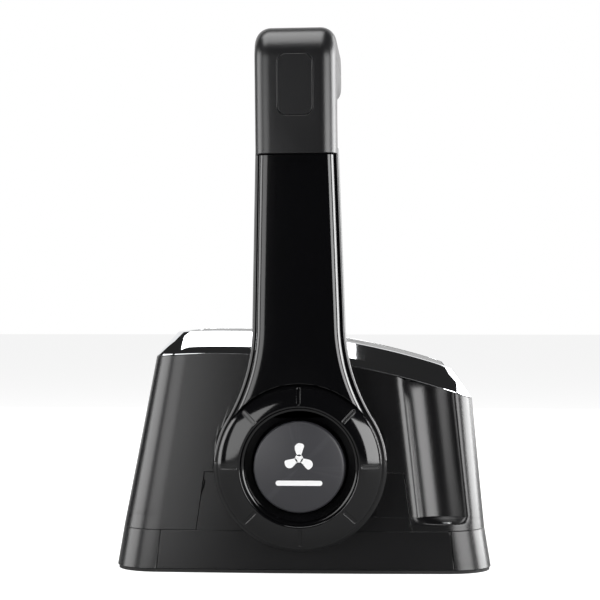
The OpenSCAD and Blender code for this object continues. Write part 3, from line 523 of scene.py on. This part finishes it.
GRAIN = moulded_grain_group()
WEAR = handling_wear_group()
BRUSHED = brushed_group()


def finish(name, color, rough, grain=2600.0, relief=0.02, uneven=0.2, metallic=0.0, coat=0.0, coat_rough=0.05,
           worn=None, wear=0.3, worn_rough=None, brushed=None, specular=0.5):
    material = bpy.data.materials.new(name)
    material.use_nodes = True
    tree = material.node_tree
    link = tree.links.new
    shader = tree.nodes["Principled BSDF"]
    if brushed:
        texture = node(tree, "ShaderNodeGroup", node_tree=BRUSHED)
        texture.inputs["Stretch"].default_value = brushed
    else:
        texture = node(tree, "ShaderNodeGroup", node_tree=GRAIN)
        texture.inputs["Scale"].default_value = grain
        texture.inputs["Unevenness"].default_value = uneven
    rubbed = node(tree, "ShaderNodeGroup", node_tree=WEAR)
    rubbed.inputs["Color"].default_value = (*color, 1)
    rubbed.inputs["Worn Color"].default_value = (*(worn or [min(1, c * 2.2 + 0.01) for c in color]), 1)
    rubbed.inputs["Roughness"].default_value = rough
    rubbed.inputs["Worn Roughness"].default_value = rough * 0.75 if worn_rough is None else worn_rough
    rubbed.inputs["Wear"].default_value = wear
    bump = node(tree, "ShaderNodeBump", Strength=0.6, Distance=relief / MM)
    link(texture.outputs["Mask"], rubbed.inputs["Mask"])
    link(texture.outputs["Height"], bump.inputs["Height"])
    link(rubbed.outputs["Color"], shader.inputs["Base Color"])
    link(rubbed.outputs["Roughness"], shader.inputs["Roughness"])
    link(bump.outputs["Normal"], shader.inputs["Normal"])
    shader.inputs["Metallic"].default_value = metallic
    shader.inputs["Coat Weight"].default_value = coat
    shader.inputs["Coat Roughness"].default_value = coat_rough
    shader.inputs["Specular IOR Level"].default_value = specular
    return material


FINISHES = {
    "textured_black": finish("textured black plastic", (0.003, 0.003, 0.0034), 0.23, grain=1900, relief=0.03,
                             uneven=0.18),
    "smooth_black": finish("smooth black plastic", (0.003, 0.003, 0.0034), 0.21, grain=2600, relief=0.012),
    "gloss_black": finish("gloss black plastic", (0.002, 0.002, 0.0024), 0.09, grain=900, relief=0.001,
                          uneven=0.05, wear=0.1),
    "grip_black": finish("soft grip plastic", (0.006, 0.006, 0.0066), 0.28, grain=2300, relief=0.045,
                         uneven=0.15),
    "cap_grey": finish("grey cap plastic", (0.026, 0.026, 0.03), 0.42, grain=2400, relief=0.02, uneven=0.1),
    "emblem": finish("white emblem print", (0.82, 0.82, 0.82), 0.5, grain=3000, relief=0.004, wear=0.05),
    "bright_chrome": finish("bright chrome", (0.86, 0.87, 0.89), 0.03, grain=500, relief=0.001, uneven=0.05,
                            metallic=1.0, worn=(0.9, 0.9, 0.92), wear=0.1),
    "rubber_black": finish("black rubber", (0.018, 0.018, 0.018), 0.72, grain=1500, relief=0.08,
                           specular=0.3),
    "steel": finish("machined steel", (0.5, 0.5, 0.51), 0.24, metallic=1.0, relief=0.006,
                    brushed=(300.0, 5000.0, 300.0), worn=(0.7, 0.7, 0.7)),
    "casting": finish("cast alloy", (0.36, 0.36, 0.37), 0.5, grain=1400, relief=0.09, metallic=1.0,
                      worn=(0.6, 0.6, 0.61), wear=0.7),
    "brass": finish("turned brass", (0.62, 0.43, 0.18), 0.26, metallic=1.0, relief=0.006,
                    brushed=(300.0, 5000.0, 300.0), worn=(0.8, 0.62, 0.34)),
    "nylon": finish("natural nylon", (0.72, 0.69, 0.6), 0.45, grain=1300, relief=0.03),
    "switch_red": finish("red switch button", (0.4, 0.03, 0.025), 0.35, grain=2200, relief=0.015),
}

for part in frame["record"]["subparts"]:
    cad_node = frame["nodes"][part["node"]]
    cad_node.data.materials.clear()
    cad_node.data.materials.append(FINISHES[part["material_slot"]])


# ---------------------------------------------------------------- housing and base

def build_housing():
    wall = housing_wall()
    near_slot = plate(slot_points(0), [0, 0, 0, 0], -70, -30)
    far_slot = plate(slot_points(0), [0, 0, 0, 0], 30, 70)
    notches = joined(rod(0, HUB_Z, 17.2, -70, -30), rod(0, HUB_Z, 17.2, 30, 70))
    shell = carved(carved(copy_of(wall), joined(near_slot, far_slot)), notches)
    make_piece("housing_shell", shell, FINISHES["textured_black"], "base", ["housing"],
               0.28)

    filler = carved(copy_of(wall), plate(slot_points(GAP), [0, 0, 0, 0], -70, -30), "INTERSECT")
    filler = carved(filler, rod(0, HUB_Z, 17.2, -70, -30))
    make_piece("slot_filler_plate", filler, FINISHES["smooth_black"], "base", ["slot_filler"],
               0.1)

    bump = rod(0, HUB_Z, 17.0, 30, 70)
    blank = carved(copy_of(wall), plate(slot_points(GAP), [0, 0, 0, 0], 30, 70), "INTERSECT")
    cover = carved(wall, bump, "INTERSECT")
    blank = carved(blank, cover, "UNION")
    make_piece("far_side_cover", blank, FINISHES["textured_black"], "base", ["far_side_blank"],
               0.35)


def build_base():
    bm = bmesh.new()
    rings = [band_ring(bm, DECK_Z, 0), band_ring(bm, SEAM_Z, 0), band_ring(bm, SEAM_Z, WALL + SKIRT_T),
             band_ring(bm, FLOOR_Z, WALL + SKIRT_T),
             plan_ring(bm, -72, 72, 38, 10, FLOOR_Z), plan_ring(bm, -72, 72, 38, 10, DECK_Z)]
    band = lofted(bm, rings)
    recess = band_shell(-3, SKIRT_T, DECK_Z - 2, SEAM_Z + 2)
    near = carved(copy_of(recess), skirt_plate(0, -80, -30), "INTERSECT")
    far = carved(recess, skirt_plate(0, 30, 80), "INTERSECT")
    band = carved(carved(band, near), far)
    holes = joined(*[post(x, y, 2.75, DECK_Z - 2, FLOOR_Z + 2) for x in (-80, 80) for y in (-32, 32)])
    band = carved(band, holes)
    make_piece("base_band", band, FINISHES["textured_black"], "base", ["base_frame"], 0.28)
    for side, name in ((-1, "near"), (1, "far")):
        strip = band_shell(0, SKIRT_T - 0.1, DECK_Z + 0.1, SEAM_Z - 0.05)
        ends = sorted((side * 30, side * 80))
        panel = carved(strip, skirt_plate(GAP, *ends), "INTERSECT")
        make_piece(f"skirt_panel_{name}_face", panel, FINISHES["smooth_black"], "base",
                   [f"skirt_panel_{name}"], 0.35)


def build_bezel():
    x0, x1, w = rim_low.x, roof_high.x, roof_high.y

    def rim(inset, lift):
        return plan_ring(bm, x0 + inset, x1 - inset, w - inset, RIM_R - inset * 0.6,
                         lambda x: RIM_Z + arch(x) + lift)

    def top(inset, drop):
        slope = BEZEL_SLOPE
        return plan_ring(bm, x0 + slope + inset, x1 - slope + 1 - inset, w - slope + 1 - inset,
                         TOP_R - inset / 2, lambda x: RIM_Z + BEZEL_RISE + arch(x) - drop)

    bm = bmesh.new()
    chrome = lofted(bm, [rim(0, GAP), rim(0.05, 0.7), top(-0.35, 0.5), top(0.35, 0.05), top(4, 0.0),
                         top(4, 1.6),
                         top(6.4, 1.6), top(6.4, 3.2), rim(2.4, GAP)])
    make_piece("bezel", chrome, FINISHES["bright_chrome"], "base", ["chrome_bezel"], 0.15)
    bm = bmesh.new()
    low, high = top(4.2, 1.55), top(4.2, 0.15)
    bmesh.ops.bridge_loops(bm, edges=low + high)
    spine = [top(4.2 + step, 0.15 - 0.05 * min(step, 1)) for step in (2, 8, 16, 24, 32)]
    for a, b in zip([high] + spine, spine):
        bmesh.ops.bridge_loops(bm, edges=a + b)
    under = [top(4.2 + step, 1.55) for step in (2, 8, 16, 24, 32)]
    for a, b in zip([low] + under, under):
        bmesh.ops.bridge_loops(bm, edges=a + b)
    for last in (spine[-1], under[-1]):
        bmesh.ops.contextual_create(bm, geom=last)
    bmesh.ops.recalc_face_normals(bm, faces=bm.faces)
    make_piece("roof_panel", bm, FINISHES["textured_black"], "base", ["top_panel"], 0.3)


# ---------------------------------------------------------------- lever

def arm_half_width(z, grow):
    """Half the lever's width at height z: the hub, then a sweep, then straight to the grip"""
    hub = HUB_R + grow
    root = ARM_ROOT + grow
    rise = z - HUB_Z
    centre_x = root + BLEND_R
    centre_z = math.sqrt((hub + BLEND_R) ** 2 - centre_x ** 2)
    touch = centre_z * hub / (hub + BLEND_R)
    if rise <= touch:
        return math.sqrt(max(0.0, hub ** 2 - rise ** 2))
    if rise <= centre_z:
        return centre_x - math.sqrt(BLEND_R ** 2 - (centre_z - rise) ** 2)
    return between(root, ARM_TOP + grow, (rise - centre_z) / (GRIP_FOOT - HUB_Z - centre_z))


def arm_section(bm, z, grow, y_back, y_front, back_round, front_round, crown):
    """A closed ring across the arm, with rounded edges and a slightly crowned face"""
    before = set(bm.edges)
    w = arm_half_width(z, grow)
    corners = [bm.verts.new(p) for p in ((-w, y_back, z), (-w, y_front, z), (w, y_front, z), (w, y_back, z))]
    bm.faces.new(corners)
    round_corners(bm, corners[1:3], front_round, 8)
    round_corners(bm, [corners[0], corners[3]], back_round, 3)
    face = [e for e in bm.edges if e not in before and abs(e.verts[0].co.x - e.verts[1].co.x) > 20
            and e.verts[0].co.y < (y_back + y_front) / 2]
    bmesh.ops.subdivide_edges(bm, edges=face, cuts=24)
    ring = [e for e in bm.edges if e not in before]
    bmesh.ops.delete(bm, geom=list({f for e in ring for f in e.link_faces}), context="FACES_ONLY")
    for v in {v for e in ring for v in e.verts}:
        if v.co.y < y_front + front_round:
            v.co.y += crown * (v.co.x / w) ** 2
    return ring


def arm_shell(z0, z1, steps, **shape):
    """The arm from z0 to z1 as a closed shell"""
    bm = bmesh.new()
    rings = [arm_section(bm, between(z0, z1, (i / steps) ** 1.3), **shape) for i in range(steps + 1)]
    for lower, upper in zip(rings, rings[1:]):
        bmesh.ops.bridge_loops(bm, edges=lower + upper)
    for end in (rings[0], rings[-1]):
        bmesh.ops.contextual_create(bm, geom=end)
    bmesh.ops.recalc_face_normals(bm, faces=bm.faces)
    return bm


def build_covers():
    arm_face = -78.0
    arm = arm_shell(HUB_Z + 2, GRIP_FOOT - GAP, 64, grow=0.0, y_back=SPLIT_Y - 0.05, y_front=arm_face,
                    back_round=0.0, front_round=3.2, crown=0.9)
    seat_y = ring_high.y
    arm = carved(arm, rod(0, HUB_Z, HUB_R + 0.1, arm_face - 5, seat_y + 0.02, 160))
    drum = rod(0, HUB_Z, HUB_R, seat_y, SPLIT_Y - 0.05, 160)
    front = carved(carved(arm, drum, "UNION"), rod(0, HUB_Z, CUP_R + 0.1, -90, -60, 128))
    make_piece("front_cover", leaned(front), FINISHES["gloss_black"], "lever", ["lever_front_cover"],
               0.35)

    rear = arm_shell(HUB_Z + 2, GRIP_FOOT + 3.2, 64, grow=REAR_EXTRA, y_back=rear_high.y, y_front=SPLIT_Y,
                     back_round=2.0, front_round=1.4, crown=0.0)
    hub = turned([(0.01, rear_high.y), (HUB_R + REAR_EXTRA - 2, rear_high.y),
                  (HUB_R + REAR_EXTRA, rear_high.y - 2),
                  (HUB_R + REAR_EXTRA, SPLIT_Y + 1.4), (HUB_R + REAR_EXTRA - 1.4, SPLIT_Y), (0.01, SPLIT_Y)])
    rear = carved(rear, hub, "UNION")
    counterbores = joined(*[
        rod(33.95 * math.cos(math.radians(a)), HUB_Z + 33.95 * math.sin(math.radians(a)), 3.1,
            rear_high.y - 2.2, rear_high.y + 5, 32) for a in (-20, 200, 240, 300)])
    rear = carved(rear, counterbores)
    make_piece("rear_cover", leaned(rear), FINISHES["gloss_black"], "lever", ["lever_rear_cover"],
               0.3)


def build_hub():
    seat, face = ring_high.y, ring_low.y
    out = HUB_R - 0.3
    ring = turned([(CUP_R + 0.1, seat), (out, seat), (out, seat - 1.0), (out - 1.3, seat - 2.2),
                   (CUP_R + 1.3, face), (CUP_R + 0.5, face + 0.15), (CUP_R + 0.1, face + 0.7)])
    slots = []
    for i in range(8):
        bar = raised(flat_face([(29.3, -0.8), (38.0, -0.8), (38.0, 0.8), (29.3, 0.8)], [0.78] * 4, 6), 4)
        stand_up(bar, 0)
        tip = Matrix.Rotation(math.radians(21), 3, "Z")
        bmesh.ops.rotate(bar, cent=(29.3, 0, 0), matrix=tip, verts=bar.verts)
        bmesh.ops.translate(bar, vec=(0, face + 0.55, 0), verts=bar.verts)
        turn = Matrix.Rotation(math.radians(45 * i), 3, "Y")
        bmesh.ops.rotate(bar, cent=(0, 0, 0), matrix=turn, verts=bar.verts)
        bmesh.ops.translate(bar, vec=(0, 0, HUB_Z), verts=bar.verts)
        slots.append(bar)
    ring = carved(ring, joined(*slots))
    make_piece("hub_ring_face", leaned(ring), FINISHES["gloss_black"], "lever", ["hub_ring"],
               0.25)

    rim = cup_low.y
    back = cup_high.y
    cup = turned([(16.3, back), (CUP_R, back), (CUP_R, rim), (CUP_R - 0.5, rim),
                  (CUP_R - 1.4, rim + 0.6), (CUP_R - 1.4, rim + 3), (CAP_R + 0.5, rim + 5),
                  (CAP_R + 0.5, back - 1.4), (16.3, back - 1.4)])
    make_piece("recess_liner", leaned(cup), FINISHES["gloss_black"], "lever", ["recess_cup"],
               0.2)

    back, face = cap_high.y, cap_low.y
    cap = turned([(0.01, face), (CAP_R - 1.6, face), (CAP_R - 0.5, face + 0.45),
                  (CAP_R, face + 1.4), (CAP_R, back),
                  (CAP_R - 2, back), (CAP_R - 2, face + 2.2), (0.01, face + 2.2)])
    make_piece("button_face", cap, FINISHES["cap_grey"], "button", ["button_cap"], 0.2)


def build_emblem():
    """A plain propeller mark over a short bar, printed on the button"""
    face = cap_low.y
    marks = []
    for i in range(3):
        blade = flat_face([(1.2, -0.9), (6.6, -2.7), (7.6, 0.6), (5.4, 2.3), (1.2, 0.9)],
                          [0.3, 1.2, 1.4, 1.2, 0.3], 6)
        bmesh.ops.rotate(blade, cent=(0, 0, 0), matrix=Matrix.Rotation(math.radians(90 + 120 * i), 3, "Z"),
                         verts=blade.verts)
        marks.append(blade)
    boss = bmesh.new()
    bmesh.ops.create_circle(boss, cap_ends=True, radius=1.9, segments=32)
    marks.append(boss)
    for mark in marks:
        bmesh.ops.translate(mark, vec=(0, 4.2, 0), verts=mark.verts)
    marks.append(flat_face([(-11, -8.6), (11, -8.6), (11, -6.2), (-11, -6.2)], [1.15] * 4, 6))
    solids = [stand_up(raised(mark, 0.08), face + 0.03) for mark in marks]
    emblem = joined(*solids)
    bmesh.ops.translate(emblem, vec=(0, 0, HUB_Z), verts=emblem.verts)
    make_piece("button_emblem", emblem, FINISHES["emblem"], "button", (), 0.0)


# ---------------------------------------------------------------- grip

def grip_form():
    """The hand grip: an upright face that bends inward into a rounded bar"""
    front, back, reach, under = grip_low.y, rear_high.y - 0.5, grip_high.y, TOP_Z - 30
    bm = flat_face([(front, GRIP_FOOT), (front, TOP_Z), (reach, TOP_Z), (reach, under), (back, under),
                    (back, GRIP_FOOT)], [0, 16, 14, 14, 15, 0], 14)
    bmesh.ops.reverse_faces(bm, faces=bm.faces)
    grown = bmesh.ops.extrude_face_region(bm, geom=list(bm.faces))["geom"]
    bmesh.ops.translate(bm, vec=(0, 0, GRIP_W), verts=[g for g in grown if isinstance(g, bmesh.types.BMVert)])
    # The side view was drawn in X and Y: X becomes Y, Y becomes Z and the width runs along X.
    turn = Matrix(((0, 0, 1), (1, 0, 0), (0, 1, 0)))
    bmesh.ops.transform(bm, matrix=turn.to_4x4(), verts=bm.verts)
    bmesh.ops.translate(bm, vec=(-GRIP_W / 2, 0, 0), verts=bm.verts)
    bmesh.ops.recalc_face_normals(bm, faces=bm.faces)
    rims = [e for e in bm.edges if abs(e.verts[0].co.x - e.verts[1].co.x) < 1e-4
            and max(v.co.z for v in e.verts) > GRIP_FOOT + 0.01]
    bmesh.ops.bevel(bm, geom=rims, offset=7.6, offset_type="OFFSET", affect="EDGES", segments=10, profile=0.5,
                    material=-1, clamp_overlap=False)
    bmesh.ops.remove_doubles(bm, verts=bm.verts, dist=1e-3)
    bmesh.ops.recalc_face_normals(bm, faces=bm.faces)
    return bm


def build_grip():
    part_y, part_z = -69.7, TOP_Z - 14.6
    form = grip_form()
    lower = plate([(-30, GRIP_FOOT - 5), (30, GRIP_FOOT - 5), (30, part_z), (-30, part_z)], [0] * 4,
                  part_y, 40)
    cover = carved(copy_of(form), lower)
    pocket = plate([(-8.4, BLANK_Z - 14.6), (8.4, BLANK_Z - 14.6),
                    (8.4, BLANK_Z + 14.6), (-8.4, BLANK_Z + 14.6)], [4.3] * 4, grip_low.y - 4, grip_low.y + 3)
    cover = carved(cover, pocket)
    make_piece("grip_cover_shell", leaned(cover), FINISHES["grip_black"], "lever", ["grip_cover"],
               0.3)
    lower = plate([(-30, GRIP_FOOT - 5), (30, GRIP_FOOT - 5), (30, part_z - GAP), (-30, part_z - GAP)],
                  [0] * 4, part_y + GAP, 40)
    under = carved(form, lower, "INTERSECT")
    wells = joined(*[post(0, y, 2.2, TOP_Z - 34, TOP_Z - 26) for y in (-0.62 * 59.5, -0.25 * 59.5)])
    under = carved(under, wells)
    make_piece("grip_underside_shell", leaned(under), FINISHES["grip_black"], "lever", ["grip_underside"],
               0.3)
    blank = plate([(-8.2, BLANK_Z - 14.4), (8.2, BLANK_Z - 14.4),
                   (8.2, BLANK_Z + 14.4), (-8.2, BLANK_Z + 14.4)], [4.1] * 4,
                  grip_low.y + 0.02, grip_low.y + 2.6)
    make_piece("switch_blank_plate", leaned(blank), FINISHES["grip_black"], "lever", ["switch_blank"],
               0.28)


build_housing()
build_base()
build_bezel()
build_covers()
build_hub()
build_emblem()
build_grip()


# ---------------------------------------------------------------- studio

def softbox(name, place, aim, width, height, power):
    light = bpy.data.lights.new(name, "AREA")
    light.shape = "RECTANGLE"
    light.size, light.size_y = width, height
    light.energy = power
    lamp = bpy.data.objects.new(name, light)
    bpy.context.scene.collection.objects.link(lamp)
    lamp.location = place
    away = Vector(place) - Vector(aim)
    across = Vector((-away.y, away.x, 0)) if abs(away.z) < 0.9 else Vector((1, 0, 0))
    upward = away.cross(across)
    frame_axes = Matrix((across.normalized(), upward.normalized(), away.normalized()))
    lamp.rotation_euler = frame_axes.transposed().to_euler()
    lamp.visible_camera = False
    return lamp


def build_studio():
    bm = bmesh.new()
    bmesh.ops.create_grid(bm, x_segments=1, y_segments=1, size=6)
    mesh = bpy.data.meshes.new("floor")
    bm.to_mesh(mesh)
    bm.free()
    floor = bpy.data.objects.new("floor", mesh)
    bpy.context.scene.collection.objects.link(floor)
    paper = bpy.data.materials.new("pale floor")
    paper.use_nodes = True
    shader = paper.node_tree.nodes["Principled BSDF"]
    shader.inputs["Base Color"].default_value = (0.3, 0.3, 0.3, 1)
    shader.inputs["Roughness"].default_value = 0.9
    shader.inputs["Specular IOR Level"].default_value = 0.0
    shader.inputs["Emission Color"].default_value = (0.9, 0.9, 0.9, 1)
    seen = paper.node_tree.nodes.new("ShaderNodeLightPath")
    paper.node_tree.links.new(seen.outputs["Is Camera Ray"], shader.inputs["Emission Strength"])
    mesh.materials.append(paper)

    middle = (0, -0.02, 0.12)
    softbox("left_front_box", (-0.5, -0.76, 0.24), middle, 0.62, 0.42, 2.9)
    softbox("left_side_box", (-0.89, -0.1, 0.27), middle, 0.62, 0.55, 5.6)
    softbox("right_front_box", (0.68, -0.6, 0.24), middle, 0.62, 0.45, 6.6)
    softbox("right_side_box", (0.89, 0.22, 0.27), middle, 0.6, 0.6, 13.5)
    softbox("right_rear_box", (0.62, 0.6, 0.38), middle, 0.45, 0.7, 2.6)
    softbox("top_box", (-0.225, -0.13, 1.1), middle, 0.88, 0.86, 12.6)
    softbox("back_box", (0.0, 1.1, 0.5), middle, 2.4, 1.4, 9.5)

    world = bpy.data.worlds.new("studio")
    bpy.context.scene.world = world
    world.use_nodes = True
    tree = world.node_tree
    tree.nodes.clear()
    seen = tree.nodes.new("ShaderNodeLightPath")
    white = node(tree, "ShaderNodeBackground", Color=(1, 1, 1, 1), Strength=1.0)
    room = node(tree, "ShaderNodeBackground", Color=(1, 1, 1, 1), Strength=0.02)
    mix = tree.nodes.new("ShaderNodeMixShader")
    out = tree.nodes.new("ShaderNodeOutputWorld")
    tree.links.new(seen.outputs["Is Camera Ray"], mix.inputs[0])
    tree.links.new(room.outputs[0], mix.inputs[1])
    tree.links.new(white.outputs[0], mix.inputs[2])
    tree.links.new(mix.outputs[0], out.inputs[0])


def build_camera():
    target = Vector((0.0005, ring_low.y / MM, roof_high.z / MM + 0.015))
    yaw = math.radians(3)
    camera = bpy.data.objects.new("camera", bpy.data.cameras.new("camera"))
    camera.location = target + 0.85 * Vector((math.sin(yaw), -math.cos(yaw), 0))
    camera.rotation_euler = (target - camera.location).to_track_quat("-Z", "Y").to_euler()
    camera.data.lens = 108.5
    camera.data.sensor_width = 36
    bpy.context.scene.collection.objects.link(camera)
    bpy.context.scene.camera = camera


build_studio()
build_camera()
bpy.context.scene.view_settings.view_transform = "Standard"
